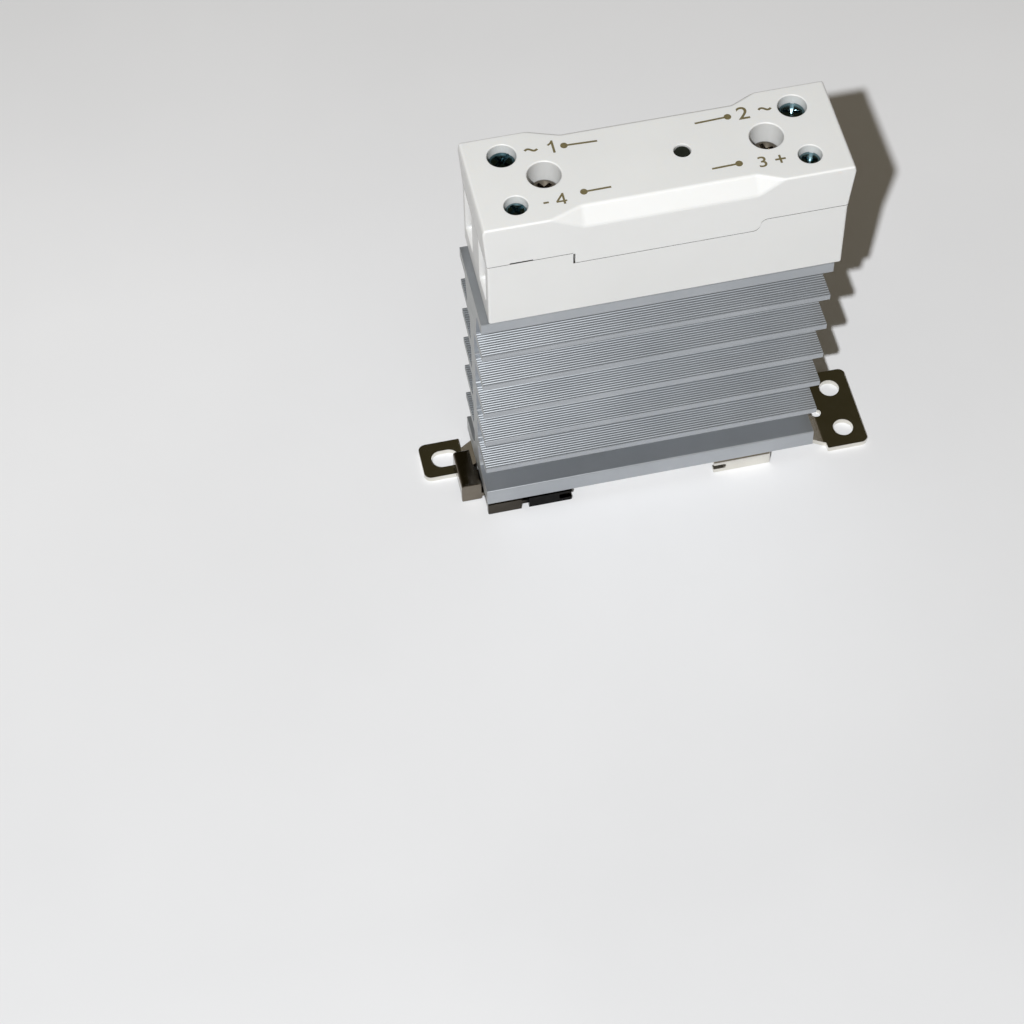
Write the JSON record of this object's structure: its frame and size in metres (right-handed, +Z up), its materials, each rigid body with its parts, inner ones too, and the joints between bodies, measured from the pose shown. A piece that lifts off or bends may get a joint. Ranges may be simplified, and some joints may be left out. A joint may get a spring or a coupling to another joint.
{
  "type": "solid state relay",
  "caption": "Slim DIN rail solid state relay: white terminal housing bolted on a finned aluminium heatsink, with a nickel plated foot bracket, ears and a sprung rail slider.",
  "frame": {"origin": "centre of the footprint, at the panel mounting plane under the ears", "axes": "+X along the heatsink towards the two-hole ear, +Y across the rail device's width towards the output terminals, +Z up from the rail to the terminals"},
  "size_m": [0.0922, 0.0226, 0.0883],
  "materials": {
    "aluminium_sink": "natural anodised extrusion, satin",
    "nickel_sheet": "bright nickel plate",
    "nickel_slider": "bright nickel plate",
    "steel_hardware": "nickel plated steel",
    "spring_steel": "bright spring wire",
    "white_case": "satin moulded, white base",
    "white_cover": "satin moulded, white cover",
    "bronze_screw": "yellow zinc plate",
    "zinc_screw": "blue zinc plate",
    "zinc_cage": "zinc plated cage",
    "thermal_film": "grey white thermal film",
    "nickel_plate": "nickel plated copper base plate",
    "ceramic": "white alumina",
    "copper": "bare copper",
    "silicon": "dark silicon",
    "pin_gold": "tinned pin",
    "tinned_copper": "tinned copper strap",
    "tin_blade": "tinned strap",
    "board_green": "green solder mask",
    "ic_black": "black moulded package",
    "resistor_body": "lacquered body",
    "film_brown": "brown dipped film capacitor",
    "varistor_blue": "blue dipped disc",
    "led_lens": "dark tinted lens, unlit"
  },
  "bodies": {
    "relay": {"heatsink": "aluminium_sink", "din_bracket": "nickel_sheet", "bracket_screws": "steel_hardware", "guide_rivets": "steel_hardware", "slider_spring": "spring_steel", "thermal_pad": "thermal_film", "module_plate": "nickel_plate", "substrate": "ceramic", "substrate_copper": "copper", "thyristor_dies": "silicon", "gate_pins": "pin_gold", "output_bar_1": "tinned_copper", "output_bar_2": "tinned_copper", "input_blade_3": "tin_blade", "input_blade_4": "tin_blade", "control_board": "board_green", "optocoupler": "ic_black", "board_resistors": "resistor_body", "snubber_capacitor": "film_brown", "varistor": "varistor_blue", "status_led": "led_lens", "housing_base": "white_case", "housing_cover": "white_cover", "mounting_screws": "bronze_screw", "mounting_washers": "bronze_screw"},
    "rail_slider": {"din_slider": "nickel_slider"},
    "output_screw_1": {"output_screw_1": "zinc_screw"},
    "output_screw_2": {"output_screw_2": "zinc_screw"},
    "input_screw_3": {"input_screw_3": "zinc_screw"},
    "input_screw_4": {"input_screw_4": "zinc_screw"},
    "output_cage_1": {"output_cage_1": "zinc_cage"},
    "output_cage_2": {"output_cage_2": "zinc_cage"},
    "input_cage_3": {"input_cage_3": "zinc_cage"},
    "input_cage_4": {"input_cage_4": "zinc_cage"}
  },
  "joints": [
    {"name": "rail_slider_slide", "type": "slide", "parent": "relay", "child": "rail_slider", "axis": [-1, 0, 0], "range_m": [0, 0.0032], "stiffness_N_per_m": 5000, "springref_m": -0.001, "deforming": ["slider_spring"]},
    {"name": "output_screw_1_turn", "type": "hinge", "parent": "relay", "child": "output_screw_1", "pos_m": [-0.0271, 0.0062, 0.086], "axis": [0, 0, -1], "range_deg": [0, 2060]},
    {"name": "output_cage_1_lift", "type": "slide", "parent": "relay", "child": "output_cage_1", "axis": [0, 0, 1], "range_m": [0, 0.004]},
    {"name": "output_screw_2_turn", "type": "hinge", "parent": "relay", "child": "output_screw_2", "pos_m": [0.0284, 0.0062, 0.086], "axis": [0, 0, -1], "range_deg": [0, 2060]},
    {"name": "output_cage_2_lift", "type": "slide", "parent": "relay", "child": "output_cage_2", "axis": [0, 0, 1], "range_m": [0, 0.004]},
    {"name": "input_screw_3_turn", "type": "hinge", "parent": "relay", "child": "input_screw_3", "pos_m": [0.0284, -0.0062, 0.086], "axis": [0, 0, -1], "range_deg": [0, 2524]},
    {"name": "input_cage_3_lift", "type": "slide", "parent": "relay", "child": "input_cage_3", "axis": [0, 0, 1], "range_m": [0, 0.0035]},
    {"name": "input_screw_4_turn", "type": "hinge", "parent": "relay", "child": "input_screw_4", "pos_m": [-0.0271, -0.0062, 0.086], "axis": [0, 0, -1], "range_deg": [0, 2524]},
    {"name": "input_cage_4_lift", "type": "slide", "parent": "relay", "child": "input_cage_4", "axis": [0, 0, 1], "range_m": [0, 0.0035]}
  ],
  "couplings": [
    {"joint": "output_screw_1_turn", "follows": "output_cage_1_lift", "rad_per_m": 8976},
    {"joint": "output_screw_2_turn", "follows": "output_cage_2_lift", "rad_per_m": 8976},
    {"joint": "input_screw_3_turn", "follows": "input_cage_3_lift", "rad_per_m": 12566},
    {"joint": "input_screw_4_turn", "follows": "input_cage_4_lift", "rad_per_m": 12566}
  ]
}
